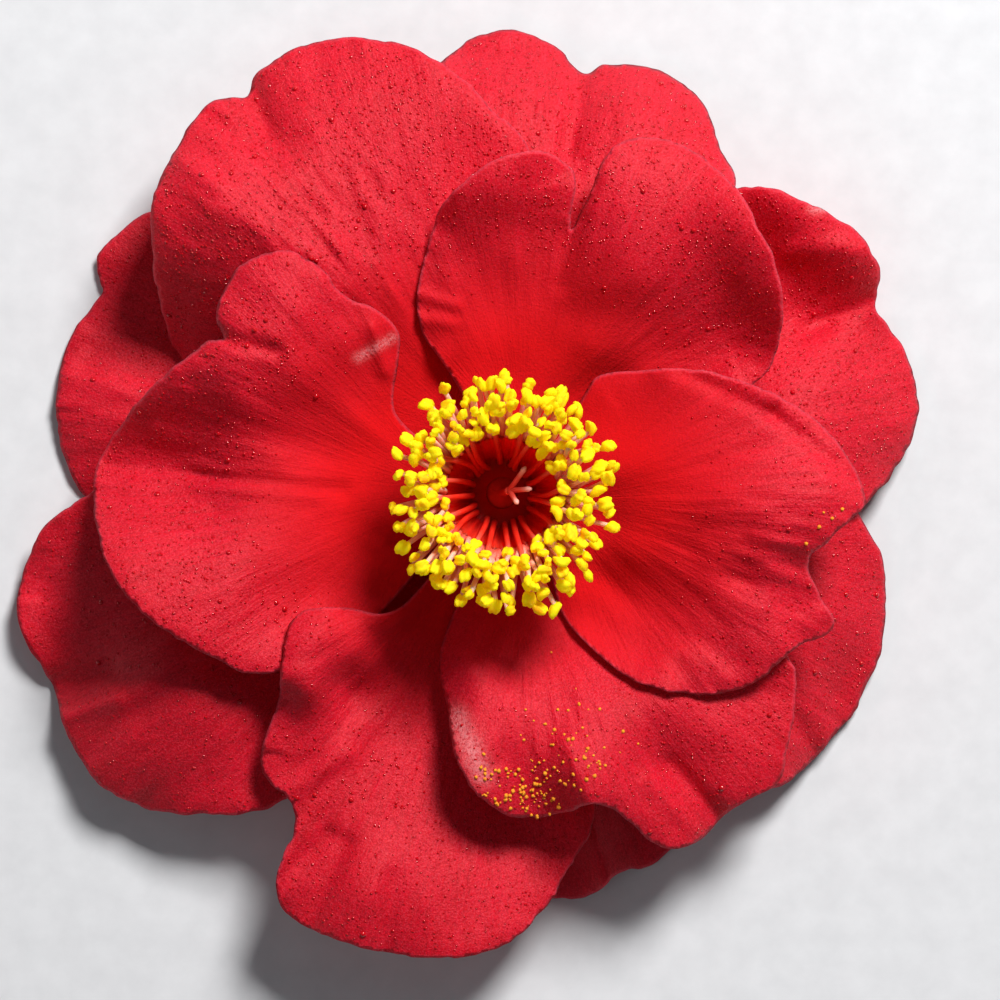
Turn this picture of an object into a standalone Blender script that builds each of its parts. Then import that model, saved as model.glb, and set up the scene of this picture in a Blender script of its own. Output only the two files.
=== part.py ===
"""A camellia flower as picked, lying face up: petals, sepals, bracts, stalk, pistil and stamens.

Metres, +Z up, on a table at z = 0. Everything that grows is laid out round the flower's own
axis in degrees (counter-clockwise from +X) and millimetres from that axis, because a flower is
built that way. The axis stands at AXIS, off the middle of the box, because the petals are unequal.
"""

import math

import bmesh
import bpy
from mathutils import Vector
from mathutils.bvhtree import BVHTree
from mathutils.geometry import delaunay_2d_cdt

MM = 0.001
AXIS = Vector((4.4 * MM, -0.4 * MM, 0))

# Petals, sepals and bracts
CLAW_R = 5.0  # radius at which every petal is attached, round the receptacle
CLAW_HALF_DEG = 26  # half the width of the attachment
PETAL_THICK = 0.8
SEPAL_THICK = 0.9
CLEARANCE = 0.38  # between two pieces that lie on each other
PETAL_MESH = 4.3  # spacing of the mesh across a petal
SEPAL_MESH = 3.4
MESH_OFF_MARGIN = 0.55  # inner points keep this share of the mesh's spacing off the margin
MARGIN_STEP = 2.4  # spacing of the points along a margin
CURVE_STEPS = 12  # points of a smooth curve between two given ones
SAMPLE = 0.7  # spacing at which two pieces are compared
LAID = 0.01  # a piece is laid when it needs no greater lift than this
ABOVE_ALL = 200.0  # a height over the whole flower
HEIGHT_RADII = (4, 15, 30, 42, 52, 62)  # radii at which a petal's heights are given

# Receptacle and stalk, as (radius, height)
STALK_PROFILE = (
    (1.9, 0.6),
    (2.2, 1.3),
    (3.4, 2.2),
    (4.0, 3.6),
    (4.0, 10.6),
    (2.4, 10.9),
)

# Stamens
TUBE_STAMENS = 40
TUBE_R = 6.1  # middle of the wall that the outer filaments are fused into
TUBE_WALL = 0.9
TUBE_FLARE = 1.1  # how much wider the tube is at its top
TUBE_TOP = 20.5
TUBE_ROWS = 3
TUBE_STAND_OFF = 1.5  # how far round its foot the petals are kept below the tube
INNER_STAMENS = 20
INNER_TURN = 0.25  # share of a step by which the first one is turned
INNER_START_R = 3.5
OUTER_ANTHERS = ((9.9, 27.5), (13.2, 25.5), (11.0, 29.0), (12.5, 27.8))  # (radius, height) in turn
INNER_ANTHERS = ((7.4, 27.5), (6.6, 25.0))
FILAMENT_WIDE = 0.5
FILAMENT_FOOT_WIDE = 0.62
FILAMENT_FOOT_RISE = 0.15
FILAMENT_LEAN = 1.6  # power by which a filament curves outwards
ANTHER_WIDE = 1.25
ANTHER_LONG = 2.0
ANTHER_PROFILE = ((0.12, 0.8), (0.4, 1), (0.8, 0.9), (1, 0.4))  # shares of its length and width

# Pistil, as (radius, height above the receptacle)
OVARY_PROFILE = ((1.3, 0.0), (2.2, 1.2), (2.4, 2.6), (1.7, 4.2), (0.7, 5.6), (0.55, 8.8))
CROWN_RISE = 0.4  # middle of the style's top, above its rim
STYLE_ARMS = 3
ARM_REACH = 2.4
ARM_RISE = 3.66
ARM_WIDE = 1.0
ARM_DEEP = 0.9
ARM_SECTIONS = ((0.5, 0.75), (1, 0.6))  # shares of an arm's length and thickness

RED = (0.62, 0.012, 0.03)
SEPAL_GREEN = (0.16, 0.17, 0.05)
BARK_GREEN = (0.13, 0.12, 0.05)
YELLOW = (0.95, 0.62, 0.02)
PALE_GREEN = (0.45, 0.5, 0.2)

# Each petal, from the back of the flower to the front: where its claw stands, its margin from one
# side to the other as (degrees, mm), its heights at HEIGHT_RADII, and its folds. A fold is a ridge,
# or a groove where its height is negative, from one point to another: (from, to, width, height).
PETALS = (
    {
        "name": "petal_back_bottom",
        "claw": -82,
        "margin": ((-112, 24), (-113, 36), (-106, 46), (-95, 51), (-83, 52), (-79, 52.5), (-75, 51.5),
                   (-73, 50), (-70, 51), (-64, 50), (-57, 45), (-52, 35), (-54, 24)),
        "heights": (6, 7, 6.5, 3.5, 1, 0),
        "folds": (((-75, 38), (-75, 52), 3, 2.2), ((-67, 40), (-68, 52), 2.5, -1.8)),
    },
    {
        "name": "petal_back_lower_right",
        "claw": -24,
        "margin": ((-60, 24), (-58, 36), (-53, 46), (-47, 51), (-41, 52), (-35, 52.5), (-31, 53),
                   (-29, 52.3), (-26, 52.5), (-21, 52), (-15, 50.5), (-11, 49.5), (-7, 47.5), (-2, 44),
                   (5, 36), (8, 25)),
        "heights": (6, 8, 9.5, 7.5, 0.5, -8),
        "folds": (((-38, 40), (-43, 54), 3, -2), ((-46, 36), (-46, 50), 9, 6),
                  ((-20, 42), (-22, 52), 5, 1)),
    },
    {
        "name": "petal_back_upper_right",
        "claw": 26,
        "margin": ((-6, 25), (-6, 36), (-3, 44.5), (1, 48), (4, 50.5), (7.5, 52.5), (11, 54), (15, 54.5),
                   (19, 54.5), (24, 53.5), (27, 52.7), (29.5, 55), (35, 55.5), (39, 54.5), (43, 53),
                   (48, 51), (52, 48.5), (58, 42), (62, 32), (58, 22)),
        "heights": (6, 8.5, 10, 9, 2, -9),
        "folds": (((34, 56), (48, 53), 7, 13), ((30, 36), (29, 50), 4, -2), ((12, 38), (13, 48), 8, 2.5)),
    },
    {
        "name": "petal_back_upper_left",
        "claw": 162,
        "margin": ((138, 26), (136, 40), (138, 50), (141, 57), (146, 59), (150.5, 59.5), (153.3, 57),
                   (157, 57.8), (162, 58.5), (168, 58), (172, 57), (176, 55.5), (181, 52.5), (187, 44),
                   (189, 32), (184, 22)),
        "heights": (6, 7.5, 5.5, 3.5, 2, -1),
        "folds": (((168, 44), (169, 56), 4, 2.5), ((155, 46), (154, 58), 3.5, -1)),
    },
    {
        "name": "petal_back_lower_left",
        "claw": 207,
        "margin": ((176, 24), (175, 38), (177, 47), (180, 52), (184.5, 58.5), (191, 62.5), (195, 63.5),
                   (199, 63), (202, 62.3), (204.5, 62.3), (209, 63), (215, 63), (219, 61.5),
                   (222.5, 59.5), (227, 55.5), (232, 51), (236, 45), (238, 36), (232, 24)),
        "heights": (6, 7.5, 8.5, 9, 8.5, 4.5),
        "folds": (((204, 57), (203, 63), 2.5, -1.6), ((211, 46), (215, 58), 8, 3),
                  ((186, 44), (188, 58), 7, -2.5), ((199, 40), (199, 58), 5, -1.5)),
    },
    {
        "name": "petal_back_top",
        "claw": 78,
        "margin": ((50, 24), (49, 38), (52.5, 48), (57.5, 51.5), (62, 55), (65.5, 56.7), (70, 57.3),
                   (74, 56.7), (77.5, 55.5), (79.3, 54), (82, 56.5), (85.3, 58), (89, 59), (93, 58.3),
                   (96, 56.7), (100, 53), (105, 45), (106, 34), (100, 23)),
        "heights": (6, 8.5, 12, 12, 7.5, -4),
        "folds": (((79, 44), (79, 55), 3, -2.2), ((66, 46), (67, 54), 7, 1.5)),
    },
    {
        "name": "petal_back_top_left",
        "claw": 120,
        "margin": ((84, 24), (83, 34), (86, 43.5), (90.5, 47), (94.5, 51), (98.5, 54.5), (103, 57.8),
                   (108.5, 60.2), (114, 61.4), (119, 61.3), (122, 60.2), (123, 59), (124.5, 60.3),
                   (127, 61.2), (130.5, 60.3), (138.5, 57.5), (143, 54.7), (149.5, 50.2), (157, 44.5),
                   (161, 34), (156, 24)),
        "heights": (6.5, 10.2, 14.5, 16, 15.5, 11.5),
        "folds": (((128, 34), (136, 54), 12, 4), ((123, 52), (123, 60), 3, -2),
                  ((158, 34), (158, 48), 9, -13)),
    },
    {
        "name": "petal_top",
        "claw": 70,
        "margin": ((25, 19), (24, 27), (23.5, 34.5), (26, 37.6), (31, 40.6), (35, 42.3), (41.5, 44.5),
                   (45, 45), (47, 45.7), (51, 47.2), (55, 48), (58.5, 48.4), (63, 48.6), (67, 48),
                   (70.5, 46.5), (73, 43.5), (74, 38), (75, 33), (76.3, 37), (76.7, 40), (78.3, 41.3),
                   (81, 42.1), (85, 42.4), (88.5, 41.8), (92.5, 40.7), (98, 38.2), (102, 36.2),
                   (106, 32.8), (110, 29.3), (114, 26.2), (116.5, 21.8), (114, 17)),
        "heights": (8, 11.5, 19.5, 20.5, 16.5, 9),
        "folds": (((93, 18), (91, 30), 8, -3), ((33, 20), (33, 34), 9, -7), ((80, 28), (79, 40), 4, -2.5),
                  ((71, 34), (69, 44), 3.5, 2), ((48, 47), (36, 44), 6, 4.8),
                  ((86, 42), (100, 37), 6, 3.5)),
    },
    {
        "name": "petal_left",
        "claw": 175,
        "margin": ((144, 16), (131, 20), (123.5, 23), (123, 25.5), (126, 29), (128.7, 31.5), (128.7, 34.5),
                   (129.7, 37.8), (132, 40.5), (137, 42.4), (142, 42.9), (147, 41.9), (150, 40.4),
                   (151, 39.3), (152, 40.6), (154.7, 41.8), (158.3, 43.3), (163.7, 45.8), (170, 48.5),
                   (175.5, 51), (179.5, 51.3), (185, 50.7), (193, 49), (201, 45.8), (207, 42.4),
                   (213, 39.8), (216, 38.2), (218.5, 35.5), (221, 31), (224, 25), (224, 17)),
        "heights": (8, 13, 17, 18, 18, 17),
        "folds": (((147, 33), (147, 38), 8, 4.5), ((152, 34), (151, 42), 3, -2),
                  ((176, 38), (174, 52), 8, -7), ((198, 36), (198, 48), 10, 2.5)),
    },
    {
        "name": "petal_bottom",
        "claw": 252,
        "margin": ((229, 17), (225.5, 21), (217.5, 23.6), (213, 26), (210.5, 28.7), (212, 31), (216.5, 34),
                   (221.5, 37), (224.5, 40.5), (226.5, 43.5), (229, 45.8), (231.5, 46.6), (234.3, 46.5),
                   (236, 46.8), (238, 48.6), (238.5, 51), (239, 54), (240, 56.8), (241.5, 58.6), (244, 59.5),
                   (249, 59.6), (254.5, 59.3), (258, 59.1), (263.5, 58.5), (268.5, 57.4), (272.5, 55.2),
                   (276, 52.4), (278.5, 49.5), (281, 47), (285, 43.5), (288, 36), (284, 25), (276, 17)),
        "heights": (8, 11.5, 12, 13.5, 15, 14),
        "folds": (((245, 50), (243, 58), 3, -1.5), ((250, 50), (251, 60), 3, 1.5),
                  ((219, 26), (217, 32), 5, 3), ((274, 34), (277, 52), 9, -4.5)),
    },
    {
        "name": "petal_lower_right",
        "claw": -72,
        "margin": ((-112, 16), (-112, 19), (-111.3, 21.3), (-109, 24), (-105, 27), (-103, 29.3),
                   (-100.6, 32.7), (-97, 36), (-92.4, 38.8), (-87.5, 40.4), (-83.5, 40.6), (-78.5, 40.4),
                   (-75.7, 40), (-73, 40.2), (-70.6, 41.7), (-68.7, 44.4), (-67, 47), (-65.5, 48.6),
                   (-63.7, 49.6), (-60.5, 50), (-58, 49.7), (-54.5, 49), (-51, 49.3), (-48, 49.9),
                   (-45.5, 49.7), (-41, 47.6), (-37, 45.6), (-33.5, 44), (-30, 41.5), (-28, 34), (-29, 23)),
        "heights": (8.5, 11.5, 19, 17, 13, 6),
        "folds": (((-98, 26), (-96, 34), 6, 2), ((-74, 36), (-74, 42), 5, 3),
                  ((-57, 38), (-58, 50), 3, -2.5), ((-86, 34), (-84, 40), 5, -1.5),
                  ((-40, 20), (-40, 34), 8, -5.5), ((-112, 20), (-104, 29), 4, -3.5)),
    },
    {
        "name": "petal_right",
        "claw": -8,
        "margin": ((-62, 14.4), (-63.6, 17.2), (-62, 20), (-58, 25), (-55, 28.3), (-51.3, 31.4),
                   (-48, 33.5), (-44, 36), (-40, 38.1), (-37, 39.1), (-33.5, 40), (-28.5, 41.2),
                   (-25.3, 42.7), (-22.8, 44.8), (-20.5, 44), (-17, 41), (-13, 38.8), (-10.3, 39.8),
                   (-6.3, 42), (-3, 44.3), (-1, 45), (3.4, 44.2), (8, 42.4), (13.7, 39.6), (19.4, 36.2),
                   (25, 32.9), (31.6, 29.1), (38, 25.1), (45.5, 21), (51, 17.9)),
        "heights": (9, 13.5, 18.5, 18.5, 13.5, 7),
        "folds": (((0, 17), (-2, 40), 7, 4), ((-42, 20), (-42, 36), 10, -6)),
    },
)

SEPALS = 5
SEPAL_START_DEG = 10
SEPALS_APART_DEG = 144
SEPAL_LENGTH = 17.5
SEPAL_WIDE_DEG = 46
SEPAL_HEIGHTS = (3.6, 5.5, 8, 8, 8, 8)
BRACTS = 4
BRACT_START_DEG = 40
BRACTS_APART_DEG = 90
BRACT_LENGTH = 11.5
BRACT_WIDE_DEG = 48
BRACT_HEIGHTS = (1.9, 4, 4, 4, 4, 4)
# A scale's margin, as shares of its half width and of its length
SCALE_MARGIN = ((-1, 0.55), (-0.8, 0.86), (-0.35, 0.99), (0, 1.02), (0.35, 0.99), (0.8, 0.86), (1, 0.55))


def polar(degrees, radius):
    """A point of the flower's plan, in millimetres from its axis."""
    turn = math.radians(degrees)
    return Vector((radius * math.cos(turn), radius * math.sin(turn)))


def smooth_line(points, spacing):
    """Points about this far apart, on a Catmull-Rom curve through the given ones."""
    ends = [2 * points[0] - points[1], *points, 2 * points[-1] - points[-2]]
    fine = []
    for a, b, c, d in zip(ends, ends[1:], ends[2:], ends[3:]):
        square_term, cube_term = 2 * a - 5 * b + 4 * c - d, 3 * b - a - 3 * c + d
        for step in range(CURVE_STEPS):
            t = step / CURVE_STEPS
            fine.append(0.5 * (2 * b + (c - a) * t + square_term * t**2 + cube_term * t**3))
    fine.append(points[-1])
    run = [0.0]
    for a, b in zip(fine, fine[1:]):
        run.append(run[-1] + (b - a).length)
    count = max(4, round(run[-1] / spacing))
    line, at = [], 0
    for k in range(count + 1):
        want = run[-1] * k / count
        while at < len(run) - 2 and run[at + 1] < want:
            at += 1
        share = (want - run[at]) / max(run[at + 1] - run[at], 1e-9)
        line.append(fine[at].lerp(fine[at + 1], share))
    return line


def inside(point, outline):
    """True if the point is inside the closed outline."""
    hit = False
    for a, b in zip(outline, outline[1:] + outline[:1]):
        if (a.y > point.y) != (b.y > point.y):
            if point.x < a.x + (point.y - a.y) * (b.x - a.x) / (b.y - a.y):
                hit = not hit
    return hit


def to_segment(point, a, b):
    """Distance from a point to the stretch between a and b."""
    along = b - a
    share = max(0.0, min(1.0, (point - a).dot(along) / max(along.length_squared, 1e-9)))
    return (point - a - share * along).length


def through(knots, values, x):
    """A smooth curve through the values at the knots, read at x."""
    x = max(knots[0], min(knots[-1], x))
    k = max(i for i in range(len(knots) - 1) if knots[i] <= x)
    span = knots[k + 1] - knots[k]
    t = (x - knots[k]) / span

    def slope(i):
        low, high = max(i - 1, 0), min(i + 1, len(knots) - 1)
        return (values[high] - values[low]) / (knots[high] - knots[low])

    rise = values[k + 1] - values[k]
    start, end = slope(k) * span, slope(k + 1) * span
    return values[k] + start * t + (3 * rise - 2 * start - end) * t**2 + (start + end - 2 * rise) * t**3


def height(point, heights, folds):
    """Height of a petal's face over a point of the plan, before it is laid on its neighbours."""
    z = through(HEIGHT_RADII, heights, point.length)
    for start, end, width, tall in folds:
        off = to_segment(point, polar(*start), polar(*end))
        z += tall * math.exp(-((off / width) ** 2))
    return z


def flat_mesh(outline, spacing):
    """The outline's points and a grid of inner points, as one triangulated plan."""
    edge = len(outline)
    low = [min(p[i] for p in outline) for i in (0, 1)]
    high = [max(p[i] for p in outline) for i in (0, 1)]
    inner = []
    row_step = spacing * math.sqrt(3) / 2
    for row in range(int((high[1] - low[1]) / row_step) + 1):
        for column in range(int((high[0] - low[0]) / spacing) + 2):
            point = Vector((low[0] + (column + 0.5 * (row % 2)) * spacing, low[1] + row * row_step))
            clear = all(
                to_segment(point, a, b) > MESH_OFF_MARGIN * spacing
                for a, b in zip(outline, outline[1:] + outline[:1])
            )
            if clear and inside(point, outline):
                inner.append(point)
    made = delaunay_2d_cdt(outline + inner, [], [list(range(edge))], 1, 1e-6)
    return [Vector(p) for p in made[0]], [list(f) for f in made[2]]


class Layer:
    """One leaf-like piece: a plan, and the height of its face at each of the plan's points."""

    def __init__(self, name, outline, heights, folds, spacing, thick):
        self.name, self.outline, self.thick = name, outline, thick
        self.plan, self.faces = flat_mesh(outline, spacing)
        self.z = [height(p, heights, folds) for p in self.plan]
        self.low = [min(p[i] for p in outline) for i in (0, 1)]
        self.high = [max(p[i] for p in outline) for i in (0, 1)]
        self.tree = None
        self.grow_tree()

    def grow_tree(self):
        points = [(p.x, p.y, z) for p, z in zip(self.plan, self.z)]
        self.tree = BVHTree.FromPolygons(points, self.faces)

    def over(self, point):
        """(height of the face over a point of the plan, the triangle there), or None outside."""
        if not all(self.low[i] <= point[i] <= self.high[i] for i in (0, 1)):
            return None
        hit, _, face, _ = self.tree.ray_cast((point.x, point.y, ABOVE_ALL), (0, 0, -1))
        return None if hit is None else (hit.z, face)

    def compared_at(self, below):
        """The points of the plan at which this piece is compared with those below it."""
        points = list(self.plan) + smooth_line(self.outline + self.outline[:1], SAMPLE)
        for layer in below:
            points += smooth_line(layer.outline + layer.outline[:1], SAMPLE)
        steps = [int((self.high[i] - self.low[i]) / SAMPLE) + 1 for i in (0, 1)]
        for i in range(steps[0]):
            for j in range(steps[1]):
                points.append(Vector((self.low[0] + i * SAMPLE, self.low[1] + j * SAMPLE)))
        return points

    def lay_on(self, below, passes=12):
        """Lifts the face wherever the piece would cut into those below it, or into the table."""
        self.z = [max(z, self.thick) for z in self.z]
        self.grow_tree()
        needs = []
        for point in self.compared_at(below):
            if self.over(point) is None:
                continue
            found = [layer.over(point) for layer in below]
            top = max([hit[0] + CLEARANCE for hit in found if hit], default=0.0)
            needs.append((point, top + self.thick))
        for _ in range(passes):
            lift = [0.0] * len(self.z)
            for point, least in needs:
                hit = self.over(point)
                if hit and hit[0] < least:
                    for corner in self.faces[hit[1]]:
                        lift[corner] = max(lift[corner], least - hit[0])
            if max(lift) < LAID:
                break
            self.z = [z + more for z, more in zip(self.z, lift)]
            self.grow_tree()

    def solid(self, material):
        """The piece as a closed solid: its face, its back one thickness lower, and its rim."""
        mesh = bmesh.new()
        face = [mesh.verts.new((p.x * MM, p.y * MM, z * MM)) for p, z in zip(self.plan, self.z)]
        back = [
            mesh.verts.new((p.x * MM, p.y * MM, (z - self.thick) * MM)) for p, z in zip(self.plan, self.z)
        ]
        for corners in self.faces:
            mesh.faces.new([face[i] for i in corners])
            mesh.faces.new([back[i] for i in reversed(corners)])
        rim = [e for e in mesh.edges if len(e.link_faces) == 1]
        partner = dict(zip(face, back))
        for edge in [e for e in rim if e.verts[0] in partner]:
            a, b = edge.verts
            mesh.faces.new((b, a, partner[a], partner[b]))
        return finished(self.name, mesh, material)


def finished(name, mesh, material):
    """An object of this mesh, with its faces turned outwards."""
    bmesh.ops.recalc_face_normals(mesh, faces=mesh.faces)
    data = bpy.data.meshes.new(name)
    mesh.to_mesh(data)
    mesh.free()
    data.materials.append(material)
    data.shade_smooth()
    obj = bpy.data.objects.new(name, data)
    bpy.context.scene.collection.objects.link(obj)
    obj.parent = FLOWER
    return obj


def material(name, colour, roughness):
    made = bpy.data.materials.new(name)
    made.use_nodes = True
    shader = made.node_tree.nodes["Principled BSDF"]
    shader.inputs["Base Color"].default_value = (*colour, 1)
    shader.inputs["Roughness"].default_value = roughness
    shader.inputs["Metallic"].default_value = 0.0
    return made


def claw(degrees):
    """The two ends of an attachment, in the order in which a margin starts and ends."""
    return polar(degrees - CLAW_HALF_DEG, CLAW_R), polar(degrees + CLAW_HALF_DEG, CLAW_R)


def petal_layers():
    layers = []
    for petal in PETALS:
        first, last = claw(petal["claw"])
        points = [first, *(polar(*p) for p in petal["margin"]), last]
        outline = smooth_line(points, MARGIN_STEP)
        layers.append(
            Layer(petal["name"], outline, petal["heights"], petal["folds"], PETAL_MESH, PETAL_THICK)
        )
    return layers


def scale_layers(name, count, start, apart, length, wide_deg, heights):
    """The overlapping scales under the petals: sepals, or the smaller bracts below them."""
    layers = []
    for k in range(count):
        middle = start + k * apart % 360
        first, last = claw(middle)
        points = [first, *(polar(middle + s * wide_deg, length * r) for s, r in SCALE_MARGIN), last]
        outline = smooth_line(points, MARGIN_STEP)
        layers.append(Layer(f"{name}_{k + 1}", outline, heights, (), SEPAL_MESH, SEPAL_THICK))
    return layers


def ring(mesh, radius, z, count):
    """Points at even turns round the flower's axis."""
    return [mesh.verts.new((*(polar(360 * k / count, radius) * MM), z * MM)) for k in range(count)]


def wall(mesh, low, high):
    """Faces between two rings of the same number of points."""
    for k in range(len(low)):
        after = (k + 1) % len(low)
        mesh.faces.new((low[k], low[after], high[after], high[k]))


def lathe(name, profile, colour, segments=16):
    """A solid of revolution about the flower's axis, closed by flat ends."""
    mesh = bmesh.new()
    join_rings(mesh, [ring(mesh, radius, z, segments) for radius, z in profile])
    return finished(name, mesh, colour)


def join_rings(mesh, rings):
    """Walls from ring to ring, and a cap on the first and the last."""
    for low, high in zip(rings, rings[1:]):
        wall(mesh, low, high)
    mesh.faces.new(list(reversed(rings[0])))
    mesh.faces.new(rings[-1])


def square(mesh, centre, outward, along, wide):
    """Four points round a centre, across a filament that runs along this direction."""
    side = along.cross(outward).normalized()
    front = side.cross(along).normalized()
    corners = ((-1, -1), (1, -1), (1, 1), (-1, 1))
    return [mesh.verts.new((centre + (side * s + front * f) * wide / 2) * MM) for s, f in corners]


def stamen_line(degrees, start, end, steps=3):
    """Points of a filament's centre line, curving outwards from (radius, height) to (radius, height)."""
    line = []
    for k in range(steps + 1):
        t = k / steps
        radius = start[0] + (end[0] - start[0]) * t**FILAMENT_LEAN
        line.append(Vector((*polar(degrees, radius), start[1] + (end[1] - start[1]) * t)))
    return line


def stamen_rings(mesh, degrees, line, foot_wide):
    """Rings of points up a filament and round the anther on its end."""
    outward = Vector((*polar(degrees, 1), 0))
    rings = []
    for k, point in enumerate(line):
        along = (line[min(k + 1, len(line) - 1)] - line[max(k - 1, 0)]).normalized()
        wide = foot_wide + (FILAMENT_WIDE - foot_wide) * k / (len(line) - 1)
        rings.append(square(mesh, point, outward, along, wide))
    along = (line[-1] - line[-2]).normalized()
    for share, wide in ANTHER_PROFILE:
        centre = line[-1] + along * ANTHER_LONG * share
        rings.append(square(mesh, centre, outward, along, ANTHER_WIDE * wide))
    return rings


def stamen_tube(start_z, colour):
    """Outer filaments fused into a tube, then free, each with its anther: one grown piece."""
    mesh = bmesh.new()
    outer, inner = [], []
    for row in range(TUBE_ROWS + 1):
        share = row / TUBE_ROWS
        radius, z = TUBE_R + TUBE_FLARE * share**2, start_z + (TUBE_TOP - start_z) * share
        outer.append(ring(mesh, radius + TUBE_WALL / 2, z, TUBE_STAMENS))
        inner.append(ring(mesh, radius - TUBE_WALL / 2, z, TUBE_STAMENS))
    for rings in (outer, inner):
        for low, high in zip(rings, rings[1:]):
            wall(mesh, low, high)
    wall(mesh, inner[0], outer[0])
    foot_at = (TUBE_R + TUBE_FLARE, TUBE_TOP + FILAMENT_FOOT_RISE)
    for k in range(TUBE_STAMENS):
        after = (k + 1) % TUBE_STAMENS
        degrees = 360 * (k + 0.5) / TUBE_STAMENS
        line = stamen_line(degrees, foot_at, OUTER_ANTHERS[k % len(OUTER_ANTHERS)])
        rim = [inner[-1][k], inner[-1][after], outer[-1][after], outer[-1][k]]
        rings = [rim, *stamen_rings(mesh, degrees, line, FILAMENT_FOOT_WIDE)]
        for low, high in zip(rings, rings[1:]):
            wall(mesh, low, high)
        mesh.faces.new(rings[-1])
    return finished("stamen_tube", mesh, colour)


def inner_stamen(k, start_z, colour):
    """One of the free stamens inside the tube."""
    degrees = 360 * (k + INNER_TURN) / INNER_STAMENS
    end = INNER_ANTHERS[k % len(INNER_ANTHERS)]
    mesh = bmesh.new()
    line = stamen_line(degrees, (INNER_START_R, start_z), end, steps=5)
    join_rings(mesh, stamen_rings(mesh, degrees, line, FILAMENT_WIDE))
    return finished(f"inner_stamen_{k + 1:02d}", mesh, colour)


def pistil(start_z, colour):
    """Ovary and style, with the style's arms drawn out of its top faces."""
    segments = 2 * STYLE_ARMS
    mesh = bmesh.new()
    rings = [ring(mesh, radius, start_z + z, segments) for radius, z in OVARY_PROFILE]
    for low, high in zip(rings, rings[1:]):
        wall(mesh, low, high)
    mesh.faces.new(list(reversed(rings[0])))
    top, top_z = rings[-1], start_z + OVARY_PROFILE[-1][1]
    middle = mesh.verts.new((0, 0, (top_z + CROWN_RISE) * MM))
    for arm in range(STYLE_ARMS):
        section = [*(top[(2 * arm + i) % segments] for i in range(3)), middle]
        heading = polar(360 * (2 * arm + 1) / segments, 1)
        for share, thick in ARM_SECTIONS:
            centre = Vector((*(heading * ARM_REACH * share), top_z + ARM_RISE * share))
            across = Vector((-heading.y, heading.x, 0)) * ARM_WIDE / 2 * thick
            up = Vector((0, 0, ARM_DEEP / 2)) * thick
            corners = (centre - across, centre - up, centre + across, centre + up)
            further = [mesh.verts.new(p * MM) for p in corners]
            wall(mesh, section, further)
            section = further
        mesh.faces.new(section)
    return finished("pistil", mesh, colour)


for old in list(bpy.data.objects):
    bpy.data.objects.remove(old)
FLOWER = bpy.data.objects.new("flower_axis", None)
bpy.context.scene.collection.objects.link(FLOWER)
FLOWER.location = AXIS

petal_red = material("petal", RED, 0.55)
sepal_green = material("sepal", SEPAL_GREEN, 0.6)
stalk_green = material("stalk", BARK_GREEN, 0.7)
stamen_yellow = material("stamen", YELLOW, 0.6)
pistil_green = material("pistil", PALE_GREEN, 0.5)

bracts = scale_layers(
    "bract", BRACTS, BRACT_START_DEG, BRACTS_APART_DEG, BRACT_LENGTH, BRACT_WIDE_DEG, BRACT_HEIGHTS
)
sepals = scale_layers(
    "sepal", SEPALS, SEPAL_START_DEG, SEPALS_APART_DEG, SEPAL_LENGTH, SEPAL_WIDE_DEG, SEPAL_HEIGHTS
)
stack = []
for group, colour in ((bracts, sepal_green), (sepals, sepal_green), (petal_layers(), petal_red)):
    for layer in group:
        layer.lay_on(stack)
        stack.append(layer)
        layer.solid(colour)

receptacle_top = STALK_PROFILE[-1][1]
under_tube = TUBE_R + TUBE_WALL + TUBE_STAND_OFF
tube_foot = CLEARANCE + max(
    z for layer in stack for p, z in zip(layer.plan, layer.z) if p.length < under_tube
)
lathe("stalk", STALK_PROFILE, stalk_green)
pistil(receptacle_top + CLEARANCE, pistil_green)
stamen_tube(tube_foot, stamen_yellow)
for number in range(INNER_STAMENS):
    inner_stamen(number, receptacle_top + CLEARANCE, stamen_yellow)
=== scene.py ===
"""The looks of the camellia flower: fine petals, sepals, stamens, pistil, dew and pollen.

The flower is worked out in millimetres round its own axis, with angles in degrees counter-clockwise
from +X. Each petal takes its margin and its heights from its CAD node, and gets folds, creases,
wrinkles and a frayed margin here. Then it is laid on the petals below it.
"""

import math

import bpy
import numpy as np
from mathutils import Matrix, Vector
from mathutils.geometry import delaunay_2d_cdt


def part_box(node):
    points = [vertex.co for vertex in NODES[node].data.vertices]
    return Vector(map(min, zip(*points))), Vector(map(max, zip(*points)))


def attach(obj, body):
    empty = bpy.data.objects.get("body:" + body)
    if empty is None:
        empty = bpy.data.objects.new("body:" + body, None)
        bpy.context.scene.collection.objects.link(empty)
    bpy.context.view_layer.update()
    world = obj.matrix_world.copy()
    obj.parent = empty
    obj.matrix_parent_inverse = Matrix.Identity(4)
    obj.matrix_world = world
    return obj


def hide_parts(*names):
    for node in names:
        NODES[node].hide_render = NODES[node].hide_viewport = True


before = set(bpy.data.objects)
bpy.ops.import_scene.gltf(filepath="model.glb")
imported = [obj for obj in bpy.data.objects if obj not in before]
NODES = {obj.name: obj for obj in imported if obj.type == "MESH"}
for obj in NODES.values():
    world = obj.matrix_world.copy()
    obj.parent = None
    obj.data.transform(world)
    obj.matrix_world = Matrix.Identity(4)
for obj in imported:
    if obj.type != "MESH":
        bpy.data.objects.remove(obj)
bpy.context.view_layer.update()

MM = 0.001
RNG = np.random.default_rng(7)
STALK_LOW, STALK_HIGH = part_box("stalk")
AXIS = (STALK_LOW + STALK_HIGH) / 2 / MM
AXIS.z = 0

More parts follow.
